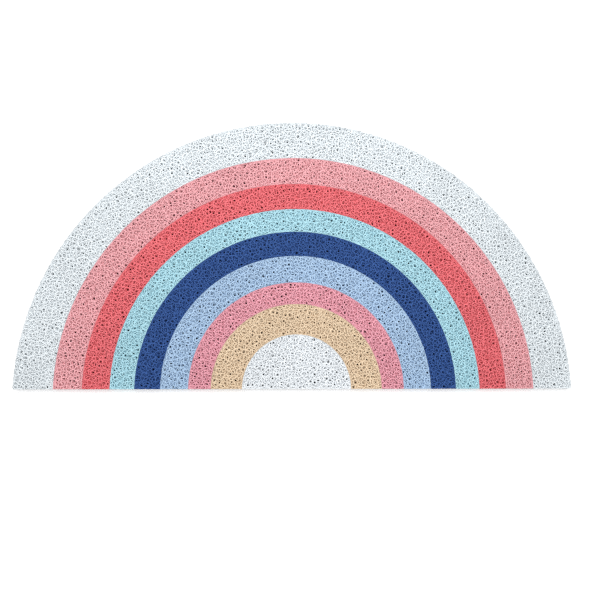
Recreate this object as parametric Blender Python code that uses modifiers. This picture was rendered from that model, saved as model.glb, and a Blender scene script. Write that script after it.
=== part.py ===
"""Half-moon doormat of coil matting: nine concentric colours on one backing sheet.

The mat lies flat on z = 0. Its straight edge faces -Y and its arc faces +Y. The origin
is on the floor, at the middle of the mat's bounding rectangle. The centre that all the
arcs share is in the middle of the straight edge.
"""

import math

import bmesh
import bpy

# Driving dimensions, in metres.
MAT_WIDTH = 0.900  # the straight edge; the mat's depth is half of it
MAT_THICKNESS = 0.012  # floor to the top of the loops
BACKING_THICKNESS = 0.002
PIECE_GAP = 0.0003  # clearance between pieces that lie edge to edge or on each other
RIM_ROUND = 0.0025  # the pressed top edge round the outline of the whole mat
SEAM_CHAMFER = 0.0008  # the loops dip a little where two colours meet
TRIM_ALLOWANCE = 0.005  # how far the outer band reaches past the outline before trimming

# How finely a full turn and the rounded rim are divided.
TURN_STEPS = 128
RIM_SEGMENTS = 3

MAT_RADIUS = MAT_WIDTH / 2
ARC_CENTRE = (0.0, -MAT_RADIUS / 2, 0.0)
LOOPS_BOTTOM = BACKING_THICKNESS + PIECE_GAP
CLOSE = PIECE_GAP / 10  # two points nearer than this are the same point

# From the middle outwards: each piece of coil matting, the radius of the circle that
# bounds it, and its colour in linear light.
BANDS = (
    # name               outer radius  red    green  blue
    ("half_disc_white", 0.0880, (0.831, 0.880, 0.905)),
    ("arch_tan", 0.1380, (0.799, 0.610, 0.429)),
    ("arch_rose", 0.1740, (0.807, 0.362, 0.429)),
    ("arch_light_blue", 0.2185, (0.418, 0.578, 0.791)),
    ("arch_navy", 0.2595, (0.047, 0.100, 0.275)),
    ("arch_aqua", 0.2985, (0.440, 0.723, 0.823)),
    ("arch_coral", 0.3420, (0.823, 0.184, 0.202)),
    ("arch_light_pink", 0.3875, (0.855, 0.418, 0.451)),
    ("arch_white", MAT_RADIUS, (0.831, 0.880, 0.905)),
)
LOOPS_ROUGHNESS = 0.45
BACKING_COLOUR = (0.030, 0.031, 0.034)
BACKING_ROUGHNESS = 0.6


def clear_scene():
    """Leaves an empty file to model in."""
    for obj in list(bpy.data.objects):
        bpy.data.objects.remove(obj, do_unlink=True)


def new_collection(name):
    collection = bpy.data.collections.new(name)
    bpy.context.scene.collection.children.link(collection)
    return collection


def vinyl(name, colour, roughness):
    """Soft vinyl of one colour, dyed right through."""
    material = bpy.data.materials.new(name)
    material.use_nodes = True
    shader = material.node_tree.nodes["Principled BSDF"]
    shader.inputs["Base Color"].default_value = (*colour, 1.0)
    shader.inputs["Roughness"].default_value = roughness
    shader.inputs["Metallic"].default_value = 0.0
    return material


def add_object(name, mesh, collection):
    """Puts a finished bmesh in the scene, with its centre where the arcs' centre is."""
    data = bpy.data.meshes.new(name)
    mesh.to_mesh(data)
    mesh.free()
    obj = bpy.data.objects.new(name, data)
    obj.location = ARC_CENTRE
    collection.objects.link(obj)
    return obj


def half_disc_slab(thickness):
    """A closed slab from the floor up, with the outline of the whole mat."""
    mesh = bmesh.new()
    bmesh.ops.create_circle(mesh, cap_ends=True, segments=TURN_STEPS, radius=MAT_RADIUS)
    bmesh.ops.bisect_plane(
        mesh,
        geom=[*mesh.verts, *mesh.edges, *mesh.faces],
        dist=CLOSE,
        plane_co=(0.0, 0.0, 0.0),
        plane_no=(0.0, -1.0, 0.0),
        clear_outer=True,
    )
    raised = bmesh.ops.extrude_face_region(mesh, geom=mesh.faces[:])
    top = [item for item in raised["geom"] if isinstance(item, bmesh.types.BMVert)]
    bmesh.ops.translate(mesh, verts=top, vec=(0.0, 0.0, thickness))
    bmesh.ops.recalc_face_normals(mesh, faces=mesh.faces)
    return mesh


def add_outline_cutter(collection):
    """What the laid-up bands are trimmed to: the mat's outline, its top edge rounded."""
    mesh = half_disc_slab(MAT_THICKNESS)
    top_edges = [
        edge
        for edge in mesh.edges
        if all(abs(vertex.co.z - MAT_THICKNESS) < CLOSE for vertex in edge.verts)
    ]
    bmesh.ops.bevel(
        mesh,
        geom=top_edges,
        affect="EDGES",
        offset=RIM_ROUND,
        segments=RIM_SEGMENTS,
        profile=0.5,
    )
    cutter = add_object("outline", mesh, collection)
    cutter.display_type = "WIRE"
    cutter.hide_render = True
    return cutter


def band_section(inner, outer):
    """A band's cross-section as (radius, height) points, from the inner top corner
    outwards and down. Each side stands half a gap clear of its seam, with a chamfer at
    the top. The middle piece has no inner side: its section ends on the axis."""
    far = outer - PIECE_GAP / 2
    near = inner + PIECE_GAP / 2
    outer_side = [
        (far - SEAM_CHAMFER, MAT_THICKNESS),
        (far, MAT_THICKNESS - SEAM_CHAMFER),
        (far, LOOPS_BOTTOM),
    ]
    if inner == 0:
        return [(0.0, MAT_THICKNESS), *outer_side, (0.0, LOOPS_BOTTOM)]
    inner_side = [
        (near, LOOPS_BOTTOM),
        (near, MAT_THICKNESS - SEAM_CHAMFER),
    ]
    return [(near + SEAM_CHAMFER, MAT_THICKNESS), *outer_side, *inner_side]


def add_band(name, inner, outer, colour, outline, collection):
    """One colour of coil matting: a full ring or disc, trimmed to the mat's outline."""
    reach = outer + TRIM_ALLOWANCE if outer == MAT_RADIUS else outer
    section = band_section(inner, reach)
    mesh = bmesh.new()
    corners = [mesh.verts.new((radius, 0.0, height)) for radius, height in section]
    for start, end in zip(corners, corners[1:]):
        mesh.edges.new((start, end))
    if inner > 0:
        mesh.edges.new((corners[-1], corners[0]))
    band = add_object(name, mesh, collection)
    band.data.materials.append(vinyl(name, colour, LOOPS_ROUGHNESS))

    turn = band.modifiers.new("full_turn", "SCREW")
    turn.steps = TURN_STEPS
    turn.render_steps = TURN_STEPS
    turn.use_merge_vertices = True
    turn.merge_threshold = CLOSE
    turn.use_smooth_shade = False

    trim = band.modifiers.new("trimmed_to_outline", "BOOLEAN")
    trim.operation = "INTERSECT"
    trim.object = outline
    return band


def add_backing(collection):
    """The vinyl sheet that the nine pieces are fused to, cut to the mat's outline."""
    backing = add_object("backing", half_disc_slab(BACKING_THICKNESS), collection)
    backing.data.materials.append(vinyl("backing", BACKING_COLOUR, BACKING_ROUGHNESS))
    return backing


def main():
    clear_scene()
    doormat = new_collection("doormat")
    cutters = new_collection("cutters")
    outline = add_outline_cutter(cutters)
    add_backing(doormat)
    inner = 0.0
    for name, outer, colour in BANDS:
        add_band(name, inner, outer, colour, outline, doormat)
        inner = outer


main()
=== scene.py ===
import math

import bpy
import numpy as np
from mathutils import Matrix, Vector, geometry, noise


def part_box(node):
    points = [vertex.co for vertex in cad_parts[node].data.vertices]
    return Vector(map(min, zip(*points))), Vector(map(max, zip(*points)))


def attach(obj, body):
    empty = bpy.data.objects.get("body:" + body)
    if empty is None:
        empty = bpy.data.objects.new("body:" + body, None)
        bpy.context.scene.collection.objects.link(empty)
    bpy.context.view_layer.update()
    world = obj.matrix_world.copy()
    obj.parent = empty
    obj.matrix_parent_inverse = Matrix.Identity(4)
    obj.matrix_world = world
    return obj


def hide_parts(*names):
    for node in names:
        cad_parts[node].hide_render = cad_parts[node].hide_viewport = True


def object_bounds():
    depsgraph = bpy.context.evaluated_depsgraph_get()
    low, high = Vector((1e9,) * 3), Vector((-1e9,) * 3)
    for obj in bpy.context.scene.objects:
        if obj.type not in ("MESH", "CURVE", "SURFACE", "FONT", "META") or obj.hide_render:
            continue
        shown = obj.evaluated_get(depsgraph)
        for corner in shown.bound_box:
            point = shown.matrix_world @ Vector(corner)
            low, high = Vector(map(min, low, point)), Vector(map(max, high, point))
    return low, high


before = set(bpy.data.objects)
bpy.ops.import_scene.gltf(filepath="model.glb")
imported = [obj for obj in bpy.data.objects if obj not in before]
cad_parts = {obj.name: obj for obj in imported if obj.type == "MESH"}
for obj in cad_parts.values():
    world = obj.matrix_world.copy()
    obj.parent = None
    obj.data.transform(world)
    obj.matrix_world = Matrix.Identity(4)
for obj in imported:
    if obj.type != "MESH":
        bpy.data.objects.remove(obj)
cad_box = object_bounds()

# The camera hangs nearly a metre above the mat, over its straight edge, and looks a
# little forward, so that the straight edge runs level and no side wall shows.
CAMERA_PLACE = Vector((-0.02955, -0.20362, 0.96132))
CAMERA_AIM = Vector((0.00548, -0.08049, 0.012))
CAMERA_ROLL = math.radians(0.046)
CAMERA_LENS = 35.0  # mm
CAMERA_SENSOR = 36.0  # mm across
CAMERA_NEAR = 0.01  # nothing nearer than this is drawn

line_of_sight = (CAMERA_AIM - CAMERA_PLACE).normalized()
camera_up = Matrix.Rotation(CAMERA_ROLL, 3, line_of_sight) @ Vector((0.0, 1.0, 0.0))
camera_right = line_of_sight.cross(camera_up).normalized()
camera_up = camera_right.cross(line_of_sight)
camera_turn = Matrix((camera_right, camera_up, -line_of_sight)).transposed()

camera_data = bpy.data.cameras.new("camera")
camera_data.lens = CAMERA_LENS
camera_data.sensor_width = CAMERA_SENSOR
camera_data.clip_start = CAMERA_NEAR
camera = bpy.data.objects.new("camera", camera_data)
camera.matrix_world = Matrix.Translation(CAMERA_PLACE) @ camera_turn.to_4x4()
bpy.context.scene.collection.objects.link(camera)
bpy.context.scene.camera = camera

# The studio: a roll of white paper laid flat, an even white surround, and one soft lamp
# hung low beyond the arc, which leaves the two ends and the straight edge duller. The
# paper is cut away just inside the mat's outline, so that the underside shows from below.
FLOOR_REACH = 20.0
FLOOR_WHITE = (0.97, 0.97, 0.97, 1.0)
FLOOR_ROUGHNESS = 0.9
PAPER_LAP = 0.001  # how far the mat laps over the paper, and twice that at its two ends
HOLE_ARC_POINTS = 49
HOLE_STRAIGHT_POINTS = 17
SURROUND_WHITE = (1.0, 1.0, 1.0, 1.0)
SURROUND_STRENGTH = 1.29
LAMP_PLACE = Vector((0.02, 0.42, 0.70))
LAMP_SIDE = 0.7
LAMP_POWER = 3.3  # watts
PIXEL_FILTER = 1.35  # pixels, a little crisper than Blender's own 1.5

floor_data = bpy.data.meshes.new("floor")
hole_radius = cad_box[1][0] - 2 * PAPER_LAP
hole_foot = cad_box[0][1] + PAPER_LAP
hole_edge = [
    (hole_radius * math.cos(turn), hole_foot + hole_radius * math.sin(turn), 0.0)
    for turn in np.linspace(0.0, math.pi, HOLE_ARC_POINTS).tolist()
]
hole_straight = np.linspace(-hole_radius, hole_radius, HOLE_STRAIGHT_POINTS)[1:-1]
hole_edge += [(x, hole_foot, 0.0) for x in hole_straight.tolist()]
paper_edge = [(Vector(point).normalized() * FLOOR_REACH)[:] for point in hole_edge]
hole_points = len(hole_edge)
next_points = [*range(1, hole_points), 0]
paper_faces = [(i, hole_points + i, hole_points + j, j) for i, j in enumerate(next_points)]
floor_data.from_pydata(hole_edge + paper_edge, [], paper_faces)
paper = bpy.data.materials.new("white_paper")
paper.use_nodes = True
paper_shader = paper.node_tree.nodes["Principled BSDF"]
paper_shader.inputs["Base Color"].default_value = FLOOR_WHITE
paper_shader.inputs["Roughness"].default_value = FLOOR_ROUGHNESS
floor_data.materials.append(paper)
floor = bpy.data.objects.new("floor", floor_data)
bpy.context.scene.collection.objects.link(floor)

surround = bpy.data.worlds.new("surround")
surround.use_nodes = True
surround_light = surround.node_tree.nodes["Background"]
surround_light.inputs["Color"].default_value = SURROUND_WHITE
surround_light.inputs["Strength"].default_value = SURROUND_STRENGTH
bpy.context.scene.world = surround

lamp_data = bpy.data.lights.new("soft_lamp", "AREA")
lamp_data.shape = "SQUARE"
lamp_data.size = LAMP_SIDE
lamp_data.energy = LAMP_POWER
lamp = bpy.data.objects.new("soft_lamp", lamp_data)
lamp.location = LAMP_PLACE
lamp.rotation_euler = (-LAMP_PLACE).to_track_quat("-Z", "Y").to_euler()
lamp.visible_camera = False
bpy.context.scene.collection.objects.link(lamp)
bpy.context.scene.view_settings.view_transform = "Standard"
bpy.context.scene.cycles.use_denoising = False  # it would smear loops finer than a pixel
bpy.context.scene.cycles.filter_width = PIXEL_FILTER

# The backing is one sheet of charcoal vinyl, 2 mm thick and cut to the mat's outline.
# All the matting is fused to it. Its underside is embossed with a fine lozenge grid,
# which grips the floor and is scuffed a little paler along its ridges.
BACKING_BLACK = (0.030, 0.031, 0.034)
BACKING_ROUGHNESS = (0.48, 0.66)  # it varies between these
BACKING_ROUGH_PATCH = 0.012  # over patches of this size
LOZENGE_PITCH = 0.011
LOZENGE_LEAN = math.radians(30)  # of the two sets of ridges, each way from the straight edge
EMBOSS_DEPTH = 0.0004
SCUFFED_FROM = 0.75  # a ridge is scuffed from this share of its height upwards
SCUFFED_TONE = (0.80, 1.70)  # times the black, in the hollows and on top of the ridges
WORN_PATCH = 0.03
WORN_TONE = (0.85, 1.2)  # times the black, from patch to patch
BACKING_GRAIN = 0.0012
GRAIN_DEPTH = 0.0001
MOTTLE_MIDDLE = (0.3, 0.7)  # a noise texture mostly keeps between these
WAVE_REPEAT = math.tau / 20  # a wave texture at scale 1 repeats after this


def new_node(tree, kind, **settings):
    made = tree.nodes.new(kind)
    for setting, value in settings.items():
        setattr(made, setting, value)
    return made


def mottle(tree, place, size, detail=2.0):
    """Soft random blotches about size metres across, as a value round 0.5."""
    blotches = new_node(tree, "ShaderNodeTexNoise")
    blotches.inputs["Scale"].default_value = 1.0 / size
    blotches.inputs["Detail"].default_value = detail
    tree.links.new(place, blotches.inputs["Vector"])
    return blotches.outputs["Fac"]


def turned_into(tree, value, start, end, low, high, **settings):
    """Turns the range start to end of a value into low to high, and goes no further."""
    between = new_node(tree, "ShaderNodeMapRange", **settings)
    between.inputs["From Min"].default_value = start
    between.inputs["From Max"].default_value = end
    between.inputs["To Min"].default_value = low
    between.inputs["To Max"].default_value = high
    tree.links.new(value, between.inputs["Value"])
    return between.outputs["Result"]


def spread(tree, value, low, high):
    """Spreads the middle of a mottle's range over low to high."""
    return turned_into(tree, value, *MOTTLE_MIDDLE, low, high)


def shaded(tree, colour, factor):
    """The colour made lighter or darker by a factor that varies over the surface."""
    product = new_node(tree, "ShaderNodeVectorMath", operation="SCALE")
    if isinstance(colour, tuple):
        product.inputs[0].default_value = colour
    else:
        tree.links.new(colour, product.inputs[0])
    tree.links.new(factor, product.inputs["Scale"])
    return product.outputs["Vector"]


def backing_vinyl():
    """Matt charcoal vinyl with two sets of ridges, crossing in lozenges."""
    material = bpy.data.materials.new("charcoal_backing_vinyl")
    material.use_nodes = True
    tree = material.node_tree
    shader = tree.nodes["Principled BSDF"]
    place = new_node(tree, "ShaderNodeTexCoord").outputs["Object"]
    roughness = spread(tree, mottle(tree, place, BACKING_ROUGH_PATCH), *BACKING_ROUGHNESS)
    tree.links.new(roughness, shader.inputs["Roughness"])
    ridges = []
    for lean in (-LOZENGE_LEAN, LOZENGE_LEAN):
        turned = new_node(tree, "ShaderNodeMapping")
        turned.inputs["Rotation"].default_value = (0.0, 0.0, lean)
        tree.links.new(place, turned.inputs["Vector"])
        wave = new_node(tree, "ShaderNodeTexWave", wave_type="BANDS", bands_direction="Y")
        wave.inputs["Scale"].default_value = WAVE_REPEAT / LOZENGE_PITCH
        tree.links.new(turned.outputs["Vector"], wave.inputs["Vector"])
        ridges.append(wave.outputs["Fac"])
    grid = new_node(tree, "ShaderNodeMath", operation="MAXIMUM")
    tree.links.new(ridges[0], grid.inputs[0])
    tree.links.new(ridges[1], grid.inputs[1])
    worn = spread(tree, mottle(tree, place, WORN_PATCH, detail=4.0), *WORN_TONE)
    scuffed = turned_into(tree, grid.outputs["Value"], SCUFFED_FROM, 1.0, *SCUFFED_TONE)
    tone = shaded(tree, shaded(tree, BACKING_BLACK, worn), scuffed)
    tree.links.new(tone, shader.inputs["Base Color"])
    emboss = new_node(tree, "ShaderNodeBump")
    emboss.inputs["Distance"].default_value = EMBOSS_DEPTH
    tree.links.new(grid.outputs["Value"], emboss.inputs["Height"])
    grain = new_node(tree, "ShaderNodeBump")
    grain.inputs["Distance"].default_value = GRAIN_DEPTH
    tree.links.new(mottle(tree, place, BACKING_GRAIN), grain.inputs["Height"])
    tree.links.new(emboss.outputs["Normal"], grain.inputs["Normal"])
    tree.links.new(grain.outputs["Normal"], shader.inputs["Normal"])
    return material


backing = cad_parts["backing"]
for material_slot in backing.material_slots:
    material_slot.material = backing_vinyl()

# The matting: each colour is cut from its own roll of coil matting and laid edge to
# edge with the next. The roll is soft satin vinyl, dyed through, and has pores that go
# right down to the backing.
ARC_CENTRE_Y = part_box("backing")[0][1]
MAT_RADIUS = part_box("backing")[1][0]
MAT_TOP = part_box("arch_white")[1][2]
MATTING_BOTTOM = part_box("arch_white")[0][2]
HALF_SEAM = 0.00015  # a cut piece's box stops this far short of its seam
COLOURS = (
    # node              slot in the record     red    green  blue
    ("half_disc_white", "loops_white_centre", (0.775, 0.808, 0.835)),
    ("arch_tan", "loops_tan", (0.730, 0.572, 0.402)),
    ("arch_rose", "loops_rose", (0.745, 0.338, 0.404)),
    ("arch_light_blue", "loops_light_blue", (0.386, 0.534, 0.716)),
    ("arch_navy", "loops_navy", (0.033, 0.088, 0.274)),
    ("arch_aqua", "loops_aqua", (0.398, 0.651, 0.732)),
    ("arch_coral", "loops_coral", (0.758, 0.163, 0.184)),
    ("arch_light_pink", "loops_light_pink", (0.775, 0.385, 0.412)),
    ("arch_white", "loops_white_rim", (0.740, 0.786, 0.813)),
)
PORE_SEED = 100  # and the number of the cut is added, from the middle outwards
PORE_SIZES = (0.0006, 0.0018)  # the least and the greatest radius
PORE_SIZE_POWER = 1.8  # the higher it is, the more of the pores are small
PORES_APART = 0.0080
PORE_SPOTS_APART = PORES_APART / 2.4  # between the places where a pore can form
PORE_SHARES = (0.4, 1.3)  # of PORES_APART is what a pore keeps clear round itself
PORES_CLOSEST = 0.0036
PORE_MARGIN = 0.0012  # left between a pore and a cut
CROWDING = 0.4  # how much nearer or farther apart they lie from place to place
CROWD_SIZE = 0.04  # across a place where the pores crowd
PORE_CELL = 0.012  # the pores near another are looked up by squares of this side
STRAY = 0.32  # of the spacing is how far a strewn point strays
LOOPS_PROUD = 0.0007  # the loops spring out this far past the cut along the arc


def outline_depth(x, y):
    """How far a point, measured from the arcs' centre, lies inside the loops' outline."""
    return np.minimum(MAT_RADIUS + LOOPS_PROUD - np.hypot(x, y), y)


def strewn(reach, apart, chance):
    """Points strewn over the rectangle round a half disc, about that far apart."""
    x, y = np.meshgrid(np.arange(-reach, reach, apart), np.arange(0.0, reach, apart))
    spots = np.stack([x.ravel(), y.ravel()], axis=1)
    return spots + chance.uniform(-STRAY, STRAY, spots.shape) * apart


def pores_between(inner, outer, chance):
    """The pores of one colour, as x, y and radius. Small ones far outnumber large ones,
    and they crowd in places."""
    smallest, largest = PORE_SIZES
    spots = strewn(outer, PORE_SPOTS_APART, chance)
    sizes = chance.uniform(0.0, 1.0, len(spots)) ** PORE_SIZE_POWER
    sizes = smallest + (largest - smallest) * sizes
    radius = np.hypot(*spots.T)
    room = np.minimum(np.minimum(radius - inner, outer - radius), outline_depth(*spots.T))
    shares = chance.uniform(*PORE_SHARES, len(spots))
    kept = {}
    for number in chance.permutation(np.flatnonzero(room > sizes + PORE_MARGIN)):
        x, y = spots[number]
        crowding = 1 + CROWDING * noise.noise(Vector((x, y, 0.0)) / CROWD_SIZE)
        apart = max(PORES_APART * shares[number] * crowding, PORES_CLOSEST)
        column, row = int(x // PORE_CELL), int(y // PORE_CELL)
        near = [
            pore
            for i in (column - 1, column, column + 1)
            for j in (row - 1, row, row + 1)
            for pore in kept.get((i, j), ())
        ]
        if all(math.dist(pore[:2], (x, y)) > apart for pore in near):
            kept.setdefault((column, row), []).append((x, y, sizes[number]))
    return np.array([pore for cell in kept.values() for pore in cell])


NET_SIZE = 0.0042  # between the strands that are fused into the web
NET_DRIFT = 0.006  # how far these strands wander, and over what length
NET_RIDGE = (0.05, 0.30)  # of a cell: where a ridge's flat top ends, and where its foot ends
NET_RELIEF = 0.0007
LIGHT_KEPT_AT_ARC = 0.84  # of the colour is left at the arc, under a painted shade
LIGHT_KEPT_AT_SEAM = 0.88  # and at a seam
CUT_SHADE_WIDTH = 0.0025
# How high the vinyl lies in the pile, from 0 at the backing to 1 at the top of the loops,
# and how much light it keeps there, as painted shade.
SHADE = ((0.0, 0.02), (0.35, 0.16), (0.56, 0.92), (0.75, 0.96), (0.88, 1.0))
CUT_SIDE_LEVEL = 0.76  # the light that is kept all over a cut side, an even painted shade
HOLLOW_LEVEL = 0.82  # and between the strands of the web, as painted shade in the hollows
SPECK_LEVEL = 0.86  # and in the duller specks of the filament
SPECK_MEAN = 0.995  # of the colour, between the duller and the brighter specks
SPECK_SIZE = 0.0015
ROLL_TONE = (0.97, 1.03)  # times the colour, from patch to patch of a roll
ROLL_PATCH = 0.09
LIGHT_LOST = 2.0  # the power that a level is raised to in vinyl that lets no light through
LIGHT_THROUGH = 2.1  # and how much less it is for white
SHADE_RICHNESS = 0.85  # how much more saturated the colour is in full shade
VINYL_SPECULAR = 0.15
VINYL_ROUGHNESS = (0.40, 0.56)
VINYL_ROUGH_PATCH = 0.004
FILAMENT_GRAIN = 0.0009
FILAMENT_GRAIN_STRENGTH = 0.5


def kept_light(colour, level):
    """Pale vinyl lets light through, and so loses less of it in shade than dark vinyl."""
    return level ** (LIGHT_LOST - LIGHT_THROUGH * sum(colour) / 3)


def shade_of(colour, level):
    """The colour down in the pile. Light that gets there has met other strands first, so
    the colour is more saturated."""
    kept = kept_light(colour, level)
    richer = SHADE_RICHNESS * (1 - kept)
    return [kept * part * (part / max(colour)) ** richer for part in colour]


def fused_strands(tree, place):
    """A net of curved ridges, 1 on a ridge and 0 between: strands that melted together."""
    bent = new_node(tree, "ShaderNodeVectorMath", operation="MULTIPLY_ADD")
    drift = new_node(tree, "ShaderNodeTexNoise")
    drift.inputs["Scale"].default_value = 1 / NET_DRIFT
    tree.links.new(place, drift.inputs["Vector"])
    tree.links.new(drift.outputs["Color"], bent.inputs[0])
    bent.inputs[1].default_value = (NET_DRIFT, NET_DRIFT, NET_DRIFT)
    tree.links.new(place, bent.inputs[2])
    cells = new_node(tree, "ShaderNodeTexVoronoi", feature="DISTANCE_TO_EDGE")
    cells.inputs["Scale"].default_value = 1 / NET_SIZE
    tree.links.new(bent.outputs["Vector"], cells.inputs["Vector"])
    from_ridge = cells.outputs["Distance"]
    return turned_into(tree, from_ridge, *NET_RIDGE, 1.0, 0.0, interpolation_type="SMOOTHSTEP")


def shade_along_cuts(tree, place, inner, outer):
    """A little less than 1 along each cut: painted shade on the ends of the loops there."""
    from_centre = new_node(tree, "ShaderNodeVectorMath", operation="SUBTRACT")
    from_centre.inputs[1].default_value = (0.0, ARC_CENTRE_Y, 0.0)
    tree.links.new(place, from_centre.inputs[0])
    flattened = new_node(tree, "ShaderNodeVectorMath", operation="MULTIPLY")
    flattened.inputs[1].default_value = (1.0, 1.0, 0.0)
    tree.links.new(from_centre.outputs["Vector"], flattened.inputs[0])
    radius = new_node(tree, "ShaderNodeVectorMath", operation="LENGTH")
    tree.links.new(flattened.outputs["Vector"], radius.inputs[0])
    cut_shade = new_node(tree, "ShaderNodeMath", operation="MULTIPLY")
    cut_shade.inputs[0].default_value = 1.0
    for socket, edge, width in ((0, inner, -CUT_SHADE_WIDTH), (1, outer, CUT_SHADE_WIDTH)):
        if edge == 0:
            continue
        left = LIGHT_KEPT_AT_ARC if edge == MAT_RADIUS else LIGHT_KEPT_AT_SEAM
        darkening = turned_into(tree, radius.outputs["Value"], edge - width, edge, 1.0, left)
        tree.links.new(darkening, cut_shade.inputs[socket])
    return cut_shade.outputs["Value"]


def painted_pile_shade(tree, place, colour):
    """The colour by height in the pile: painted shade, darker from the top of the loops
    downwards.
    """
    height = new_node(tree, "ShaderNodeSeparateXYZ")
    tree.links.new(place, height.inputs["Vector"])
    level = turned_into(tree, height.outputs["Z"], MATTING_BOTTOM, MAT_TOP, 0.0, 1.0)
    pile = new_node(tree, "ShaderNodeValToRGB")
    stops = pile.color_ramp.elements
    while len(stops) < len(SHADE):
        stops.new(0.5)
    for stop, (position, kept) in zip(stops, SHADE):
        stop.position = position
        stop.color = (*shade_of(colour, kept), 1.0)
    tree.links.new(level, pile.inputs["Fac"])
    return pile.outputs["Color"]


def matting_vinyl(name, colour, inner, outer, sunk=True, fused=False):
    """Where it is sunk, the vinyl darkens from the top of the pile downwards: painted shade
    of the deep gaps between the loops, with a little dirt. A cut side has an even painted shade."""
    material = bpy.data.materials.new(name)
    material.use_nodes = True
    tree = material.node_tree
    shader = tree.nodes["Principled BSDF"]
    shader.inputs["Specular IOR Level"].default_value = VINYL_SPECULAR
    place = new_node(tree, "ShaderNodeTexCoord").outputs["Object"]
    # Sunk vinyl takes the painted shade by height, and a cut side an even painted shade.
    tone = painted_pile_shade(tree, place, colour) if sunk else tuple(shade_of(colour, CUT_SIDE_LEVEL))
    if fused:
        strands_in_web = fused_strands(tree, place)
        # Painted shade in the hollows between the fused strands of the web.
        web_hollow_shade = kept_light(colour, HOLLOW_LEVEL)
        tone = shaded(tree, tone, turned_into(tree, strands_in_web, 0.0, 1.0, web_hollow_shade, 1.0))
    # Painted shade along the seams and the arc.
    tone = shaded(tree, tone, shade_along_cuts(tree, place, inner, outer))
    tone = shaded(tree, tone, spread(tree, mottle(tree, place, ROLL_PATCH), *ROLL_TONE))
    dull = kept_light(colour, SPECK_LEVEL)
    bright = 2 * SPECK_MEAN - dull
    tone = shaded(tree, tone, spread(tree, mottle(tree, place, SPECK_SIZE), dull, bright))
    tree.links.new(tone, shader.inputs["Base Color"])
    roughness = spread(tree, mottle(tree, place, VINYL_ROUGH_PATCH), *VINYL_ROUGHNESS)
    tree.links.new(roughness, shader.inputs["Roughness"])
    grain = new_node(tree, "ShaderNodeBump")
    grain.inputs["Distance"].default_value = GRAIN_DEPTH
    grain.inputs["Strength"].default_value = FILAMENT_GRAIN_STRENGTH
    tree.links.new(mottle(tree, place, FILAMENT_GRAIN), grain.inputs["Height"])
    if fused:
        relief = new_node(tree, "ShaderNodeBump")
        relief.inputs["Distance"].default_value = NET_RELIEF
        tree.links.new(strands_in_web, relief.inputs["Height"])
        tree.links.new(relief.outputs["Normal"], grain.inputs["Normal"])
    tree.links.new(grain.outputs["Normal"], shader.inputs["Normal"])
    return material


cuts = []
inner = 0.0
for number, (node, slot, colour) in enumerate(COLOURS):
    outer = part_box(node)[1][0] + HALF_SEAM if number < len(COLOURS) - 1 else MAT_RADIUS
    cut = {"number": number, "node": node, "slot": slot, "inner": inner, "outer": outer}
    cut["pores"] = pores_between(inner, outer, np.random.default_rng(PORE_SEED + number))
    cut["vinyl"] = matting_vinyl(node + "_vinyl", colour, inner, outer)
    cut["web_vinyl"] = matting_vinyl(node + "_web_vinyl", colour, inner, outer, fused=True)
    cut["side_vinyl"] = matting_vinyl(node + "_side_vinyl", colour, inner, outer, sunk=False)
    cuts.append(cut)
    inner = outer

# The web: the lowest filaments of each cut are fused into one lumpy layer that holds the
# rest. It is a closed solid whose pores are real holes, and it is welded to the backing.
WEB_SEED = 200
WEB_TOP = 0.0083
WEB_LUMPS = 0.0014  # how far they rise and sink
WEB_LUMP_SIZE = 0.007
WEB_STEP = 0.0050
WEB_BORDER_STEP = 0.8 * WEB_STEP
WEB_INSET = 0.0005  # it stops this far behind the straight edge
WEB_CLEAR = 0.00005  # and this far from each seam and the arc
WEB_EDGE_TOP = 0.0108  # it stands higher where a blade has drawn it up along a cut
WEB_EDGE_WIDTH = 0.0020
WEB_POINT_FROM_CUT = 0.0018  # no point on its top is nearer to a cut
WEB_POINT_FROM_PORE = 0.0012  # nor nearer to a pore
WEB_SHARP = math.radians(70)  # an edge that bends more than this stays sharp
PORE_SIDES = 5
PORE_TAPER = 0.85  # of a pore's radius is left at the backing
TRIANGLES_INSIDE = 1  # asks for the triangles that lie inside the outlines
ONE_POINT = 1e-7  # two points nearer than this are the same point
RIM_ROUND = 0.0020  # the top edge is rounded this far in from the mat's outline
RIM_DROP = 0.0003  # and drops this far there


def rim_height(depth):
    """The height of the matting's top, which rounds down towards the outline."""
    short = np.clip(1 - depth / RIM_ROUND, 0.0, 1.0)
    return MAT_TOP - RIM_DROP * (1 - np.sqrt(1 - short**2))


def web_height(x, y, cut):
    """The height of the web's top: lumpy, and drawn up along the cuts."""
    lumps = WEB_LUMPS * noise.noise(Vector((x, y, 0.0)) / WEB_LUMP_SIZE)
    radius = math.hypot(x, y)
    from_edge = min(radius - cut["inner"], cut["outer"] - radius, outline_depth(x, y))
    at_edge = max(0.0, 1 - float(from_edge) / WEB_EDGE_WIDTH)
    return WEB_TOP + lumps + at_edge * (WEB_EDGE_TOP - WEB_TOP - lumps)


def seam_arc(radius):
    """Points along a seam or the outline, from its right foot to its left."""
    lowest = math.asin(WEB_INSET / radius)
    count = math.ceil(radius * (math.pi - 2 * lowest) / WEB_BORDER_STEP)
    turn = np.linspace(lowest, math.pi - lowest, count + 1)
    return np.stack([radius * np.cos(turn), radius * np.sin(turn)], axis=1)


def foot(start, end):
    """Points on the straight edge between two arcs, without its two ends."""
    count = math.ceil(np.linalg.norm(end - start) / WEB_BORDER_STEP)
    return start + np.linspace(0.0, 1.0, count + 1)[1:-1, None] * (end - start)


def triangles_over(spots, outlines):
    """Fills the first outline with triangles that use all the spots and outlines."""
    corners = [Vector(spot) for spot in spots.tolist()]
    filled = geometry.delaunay_2d_cdt(corners, [], outlines, TRIANGLES_INSIDE, ONE_POINT)
    faces, sources = filled[2], filled[3]
    return [[sources[corner][0] for corner in face] for face in faces]


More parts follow.
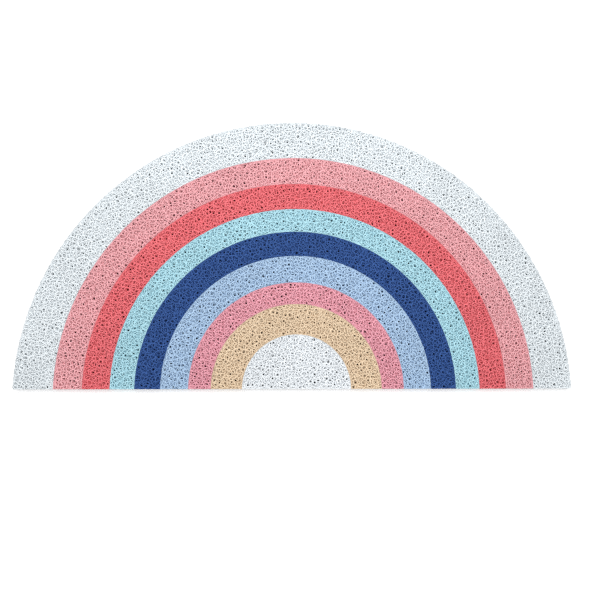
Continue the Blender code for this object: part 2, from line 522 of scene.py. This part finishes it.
def web(name, cut):
    """The web of one cut: its lumpy top, the walls of its pores, its underside and sides."""
    chance = np.random.default_rng(WEB_SEED + cut["number"])
    near = cut["inner"] + WEB_CLEAR
    far = cut["outer"] - WEB_CLEAR
    arc = seam_arc(far)
    border = [arc, foot(arc[-1], arc[0])]
    if cut["inner"] > 0:
        inner_arc = seam_arc(near)[::-1]
        border = [arc, foot(arc[-1], inner_arc[0]), inner_arc, foot(inner_arc[-1], arc[0])]
    border = np.concatenate(border)

    pores = cut["pores"]
    turn = np.linspace(0, math.tau, PORE_SIDES, endpoint=False)
    ring = pores[:, None, 2:] * np.stack([np.cos(turn), np.sin(turn)], axis=1)
    lips = (pores[:, None, :2] + ring).reshape(-1, 2)
    floors = (pores[:, None, :2] + PORE_TAPER * ring).reshape(-1, 2)
    lumps = strewn(cut["outer"], WEB_STEP, chance)
    radius = np.hypot(*lumps.T)
    room = np.minimum(np.minimum(radius - near, far - radius), outline_depth(*lumps.T))
    from_pores = [(np.hypot(*(pores[:, :2] - lump).T) - pores[:, 2]).min() for lump in lumps]
    lumps = lumps[(room > WEB_POINT_FROM_CUT) & (np.array(from_pores) > WEB_POINT_FROM_PORE)]

    spots = np.concatenate([border, floors, lips, lumps])
    # The spots from first up to last are the floors of the pores.
    first, last = len(border), len(border) + len(floors)
    edge = list(range(first))
    holes = [list(range(start, start + PORE_SIDES)) for start in range(first, last, PORE_SIDES)]

    def over_matting(face):
        """Whether a face is vinyl, and not the floor of a pore."""
        inside = [(corner - first) // PORE_SIDES for corner in face if first <= corner < last]
        return len(inside) < 3 or len(set(inside)) > 1

    faces = [face for face in triangles_over(spots, [edge, *holes]) if over_matting(face)]
    under = [face for face in triangles_over(spots[:last], [edge, *holes]) if over_matting(face)]
    heights = [web_height(x, y, cut) for x, y in spots.tolist()]
    heights[first:last] = [MATTING_BOTTOM] * (last - first)
    points = [(x, y + ARC_CENTRE_Y, z) for (x, y), z in zip(spots.tolist(), heights)]
    low = {corner: len(points) + corner for corner in edge}
    points += [(x, y + ARC_CENTRE_Y, MATTING_BOTTOM) for x, y in border.tolist()]
    faces += [[low.get(corner, corner) for corner in reversed(face)] for face in under]
    for corner, following in zip(edge, edge[1:] + edge[:1]):
        faces.append([following, corner, low[corner], low[following]])
    mesh = bpy.data.meshes.new(name)
    mesh.from_pydata(points, [], faces)
    mesh.shade_smooth()
    mesh.set_sharp_from_angle(angle=WEB_SHARP)
    piece = bpy.data.objects.new(name, mesh)
    bpy.context.scene.collection.objects.link(piece)
    return piece


for cut in cuts:
    piece = web(cut["node"] + "_web", cut)
    piece.data.materials.append(cut["web_vinyl"])
    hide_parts(cut["node"])
    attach(piece, "root")

# The loops: filament falls from the extruder in rows of coils, two layers of which show.
# The coils lean on one another, fuse where they touch, and part round the pores. The
# flat side of each strand, where it was pressed while soft, is uppermost.
LOOP_SEED = 300
FILAMENT_RADIUS = 0.00066
# The corners of a strand's section: two at its flat side, and one behind them.
STRAND_CORNERS = (math.radians(30), math.radians(150), math.radians(270))
CORNERS = len(STRAND_CORNERS)
STEPS_A_COIL = 24  # as laid; evened() then keeps a point where the strand has bent enough
# Each layer's height, the gap between its rows, its coils' radius, how far they lean, the
# bend between two points that are kept, and its distance from the outline and from pores.
LAYERS = (
    {"name": "top", "height": MAT_TOP - 0.0004, "gap": 0.0059, "coil": 0.0042, "lean": 0.0013,
     "bend": math.radians(40), "from_edge": 0.0003, "from_pore": 0.0006},
    {"name": "lower", "height": MAT_TOP - 0.0022, "gap": 0.0100, "coil": 0.0048, "lean": 0.0014,
     "bend": math.radians(55), "from_edge": 0.0010, "from_pore": 0.0007},
)
# What drifts along a row: by how much, in radians, as a share of the coil or in metres, and
# over what length.
COIL_DRIFT = {
    "angle": (0.9, 0.013),
    "width": (0.22, 0.011),
    "depth": (0.22, 0.012),
    "along": (0.0016, 0.021),
    "across": (0.0024, 0.027),
    "sag": (0.0004, 0.017),
}
WAVES_IN_DRIFT = 3
WAVE_PACES = (0.6, 1.6)  # times the drift's own wavelength
WAVES_TOGETHER = 1.7  # about how far that many waves reach when they are added up
LEAN_FROM = 0.6  # radians that a coil is past its lowest point where its turn starts
PUSHED_ROWS = 0.014  # a pore pushes the coils of the rows that lie this near to it
PUSHED_REACH = 2.2  # times the room that it clears is where the push ends
LOOPS_FROM_SEAM = 2 * WEB_CLEAR
TINY = 1e-9  # stands in for a length of zero, to divide by


def wander(chance, along, amount, wavelength):
    """A smooth random drift along each row, of about that amount and wavelength."""
    drift = np.zeros(along.shape)
    for _ in range(WAVES_IN_DRIFT):
        pace = math.tau / wavelength * chance.uniform(*WAVE_PACES, (len(along), 1))
        drift += np.sin(pace * along + chance.uniform(0.0, math.tau, (len(along), 1)))
    return amount * drift / WAVES_TOGETHER


def coil_rows(reach, layer, chance):
    """The middles of rows of coils over a half disc, one row of points a filament."""
    gap, coil = layer["gap"], layer["coil"]
    spare = 2 * coil  # laid past each end of a row, and cut off
    starts = np.arange(-coil, reach + coil, gap)[:, None]
    count = int((2 * reach + 2 * spare) / gap) * STEPS_A_COIL
    turns = np.arange(count) / STEPS_A_COIL + chance.uniform(0.0, 1.0, starts.shape)
    along = turns * gap
    clockwise = chance.choice((-1.0, 1.0), starts.shape)
    angle = math.tau * turns * clockwise + wander(chance, along, *COIL_DRIFT["angle"])
    wide = coil * (1 + wander(chance, along, *COIL_DRIFT["width"]))
    deep = coil * (1 + wander(chance, along, *COIL_DRIFT["depth"]))
    x = along - reach - spare + wander(chance, along, *COIL_DRIFT["along"])
    x += wide * np.cos(angle)
    y = starts + wander(chance, along, *COIL_DRIFT["across"]) + deep * np.sin(angle)
    z = layer["height"] - layer["lean"] * (0.5 + 0.5 * np.cos(angle + LEAN_FROM))
    z -= np.abs(wander(chance, along, *COIL_DRIFT["sag"]))
    flat_side = FILAMENT_RADIUS / 2  # above the middle of the strand
    z = np.minimum(z, rim_height(outline_depth(x, y))) - flat_side
    return np.stack([x, y, z], axis=-1)


def part_round(pores, rows, from_pore):
    """Pushes the coils aside from each pore, least where they lie farthest from it."""
    row_y = rows[..., 1].mean(axis=1)
    for x, y, size in pores:
        close = np.abs(row_y - y) < PUSHED_ROWS
        points = rows[close]
        away = points[..., :2] - (x, y)
        distance = np.maximum(np.hypot(away[..., 0], away[..., 1]), TINY)
        clear = size + from_pore
        reach = PUSHED_REACH * clear
        pushed = clear + distance * (reach - clear) / reach
        push = np.where(distance < reach, pushed / distance, 1.0)
        points[..., :2] = (x, y) + away * push[..., None]
        rows[close] = points


def cut_runs(rows, inside):
    """Cuts rows of points where inside passes zero, and gives what lies inside as
    separate runs, each ending exactly on the cut."""
    runs = []
    for points, depth in zip(rows, inside):
        within = depth > 0
        changes = np.flatnonzero(within[1:] != within[:-1]) + 1
        bounds = [0, *changes, len(points)]
        for first, last in zip(bounds, bounds[1:]):
            if not within[first] or first == 0 or last == len(points):
                continue
            run = points[first - 1:last + 1].copy()
            share = depth[first] / (depth[first] - depth[first - 1])
            run[0] = points[first] + share * (points[first - 1] - points[first])
            share = depth[last - 1] / (depth[last - 1] - depth[last])
            run[-1] = points[last - 1] + share * (points[last] - points[last - 1])
            runs.append(run)
    return runs


def evened(run, bend):
    """Keeps the ends of a run, and a point wherever it has turned through that bend."""
    steps = np.diff(run, axis=0)
    steps /= np.maximum(np.linalg.norm(steps, axis=1, keepdims=True), TINY)
    turned = np.arccos(np.clip((steps[1:] * steps[:-1]).sum(axis=1), -1.0, 1.0))
    so_far = np.floor(np.cumsum(turned) / bend + 0.5)
    keeps = np.concatenate([[True], np.diff(so_far, prepend=0.0) > 0, [True]])
    return run[keeps]


def upwards(middles):
    """Which way the top of the mat faces: straight up, all over."""
    return np.broadcast_to((0.0, 0.0, 1.0), middles.shape)


def seen_from_above(points):
    """Where each point lies on a picture of the whole mat from above."""
    return np.stack([points[:, 0] / MAT_RADIUS / 2 + 0.5, points[:, 1] / MAT_RADIUS], axis=1)


def strands(name, runs, facing, picture):
    """One mesh of closed three-sided strands, one for each run, flat side to the front."""
    middles = np.concatenate(runs)
    ends = np.cumsum([len(run) for run in runs])
    starts = ends - [len(run) for run in runs]
    before = np.arange(len(middles)) - 1
    after = np.arange(len(middles)) + 1
    before[starts] = starts
    after[ends - 1] = ends - 1
    heading = middles[after] - middles[before]
    heading /= np.linalg.norm(heading, axis=1, keepdims=True)
    side = np.cross(heading, facing(middles))
    side /= np.linalg.norm(side, axis=1, keepdims=True)
    front = np.cross(side, heading)
    corners = [
        middles + FILAMENT_RADIUS * (math.cos(turn) * side + math.sin(turn) * front)
        for turn in STRAND_CORNERS
    ]
    points = np.stack(corners, axis=1).reshape(-1, 3)
    here = np.setdiff1d(np.arange(len(middles)), ends - 1) * CORNERS
    ahead = here + CORNERS
    faces = []
    for corner in range(CORNERS):
        other = (corner + 1) % CORNERS
        around = [here + corner, here + other, ahead + other, ahead + corner]
        faces += np.stack(around, axis=1).tolist()
    heads = starts * CORNERS
    tails = (ends - 1) * CORNERS
    faces += np.stack([heads + corner for corner in reversed(range(CORNERS))], axis=1).tolist()
    faces += np.stack([tails + corner for corner in range(CORNERS)], axis=1).tolist()
    mesh = bpy.data.meshes.new(name)
    mesh.from_pydata((points + (0.0, ARC_CENTRE_Y, 0.0)).tolist(), [], faces)
    mesh.shade_smooth()
    corner_points = np.empty(len(mesh.loops), dtype=np.int32)
    mesh.loops.foreach_get("vertex_index", corner_points)
    uv_map = mesh.uv_layers.new(name="OFBake")
    uv_map.uv.foreach_set("vector", picture(points)[corner_points].ravel())
    piece = bpy.data.objects.new(name, mesh)
    bpy.context.scene.collection.objects.link(piece)
    return piece


for cut in cuts:
    chance = np.random.default_rng(LOOP_SEED + cut["number"])
    for layer in LAYERS:
        rows = coil_rows(cut["outer"], layer, chance)
        part_round(cut["pores"], rows, layer["from_pore"])
        x, y = rows[..., 0], rows[..., 1]
        to_outer = cut["outer"] - np.hypot(x, y)
        if cut["outer"] == MAT_RADIUS:
            to_outer += LOOPS_PROUD
        from_seams = np.minimum(np.hypot(x, y) - cut["inner"], to_outer)
        from_edge = outline_depth(x, y) - layer["from_edge"]
        runs = cut_runs(rows, np.minimum(from_seams - LOOPS_FROM_SEAM, from_edge))
        runs = [evened(run, layer["bend"]) for run in runs]
        name = "{}_{}_loops".format(cut["node"], layer["name"])
        piece = strands(name, runs, upwards, seen_from_above)
        piece.data.materials.append(cut["vinyl"])
        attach(piece, "root")

# Round the outline the cut side of the matting shows: coils that stand on edge, pressed
# against the web behind them and fused to it.
SIDE_SEED = 400
SIDE_COIL = 0.0034
SIDE_MIDDLE = 0.0065
SIDE_ADVANCE = 0.0033  # from one coil to the next
SIDE_BEND = math.radians(42)
SIDE_LOWEST = 0.8 * FILAMENT_RADIUS  # above the matting's bottom
SIDE_SUNK = 0.9  # of the filament's radius: how far a coil lies behind the side
SIDE_LEAN = 0.5  # and how much more or less than that round each coil
SIDE_SPARE = 3 * SIDE_COIL  # laid past each end of a row, and cut off
SIDE_FROM_SEAM = 2 * HALF_SEAM
SIDE_DEPTH = 0.003  # what lies nearer to the straight edge than this is on its side
# What drifts along a row of coils on edge, as for the rows of the two layers.
SIDE_DRIFT = {
    "angle": (1.3, 0.009),
    "size": (0.22, 0.008),
    "along": (0.0012, 0.010),
    "height": (0.0006, 0.013),
}


def side_coils(length, chance):
    """A row of coils on edge: how far along the side, how deep in it and how high."""
    count = int((length + 2 * SIDE_SPARE) / SIDE_ADVANCE) * STEPS_A_COIL
    turns = np.arange(count)[None] / STEPS_A_COIL
    along = turns * SIDE_ADVANCE
    angle = math.tau * turns + wander(chance, along, *SIDE_DRIFT["angle"])
    coil = SIDE_COIL * (1 + wander(chance, along, *SIDE_DRIFT["size"]))
    run = along - SIDE_SPARE + wander(chance, along, *SIDE_DRIFT["along"])
    run += coil * np.cos(angle)
    height = SIDE_MIDDLE + wander(chance, along, *SIDE_DRIFT["height"]) + coil * np.sin(angle)
    sunk = FILAMENT_RADIUS * (SIDE_SUNK + SIDE_LEAN * np.cos(angle + LEAN_FROM))
    return run, sunk, np.clip(height, MATTING_BOTTOM + SIDE_LOWEST, MAT_TOP - RIM_DROP)


def outwards(middles):
    """Which way the side of the mat faces, on its straight edge and round its arc."""
    radial = middles * (1.0, 1.0, 0.0)
    radial /= np.linalg.norm(radial, axis=1, keepdims=True)
    return np.where(middles[:, 1:2] < SIDE_DEPTH, (0.0, -1.0, 0.0), radial)


def seen_from_side(points):
    """Where each point lies on a picture of the mat's side, unrolled from the left."""
    on_straight = points[:, 1] < SIDE_DEPTH
    turn = np.arctan2(points[:, 1], points[:, 0])
    length = MAT_RADIUS * (2 + math.pi)
    along = np.where(on_straight, points[:, 0] + MAT_RADIUS, MAT_RADIUS * (2 + turn))
    return np.stack([along / length, points[:, 2] / MAT_TOP], axis=1)


for cut in cuts:
    chance = np.random.default_rng(SIDE_SEED + cut["number"])
    run, sunk, height = side_coils(2 * cut["outer"], chance)
    x = run - cut["outer"]
    inside = np.minimum(np.abs(x) - cut["inner"], cut["outer"] - np.abs(x))
    runs = cut_runs(np.stack([x, sunk, height], axis=-1), inside - SIDE_FROM_SEAM)
    if cut["outer"] == MAT_RADIUS:
        run, sunk, height = side_coils(math.pi * MAT_RADIUS, chance)
        turn = run / MAT_RADIUS
        radius = MAT_RADIUS + LOOPS_PROUD - sunk
        rows = np.stack([radius * np.cos(turn), radius * np.sin(turn), height], axis=-1)
        runs += cut_runs(rows, rows[..., 1] - FILAMENT_RADIUS)
    runs = [evened(run, SIDE_BEND) for run in runs]
    piece = strands(cut["node"] + "_side_loops", runs, outwards, seen_from_side)
    piece.data.materials.append(cut["side_vinyl"])
    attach(piece, "root")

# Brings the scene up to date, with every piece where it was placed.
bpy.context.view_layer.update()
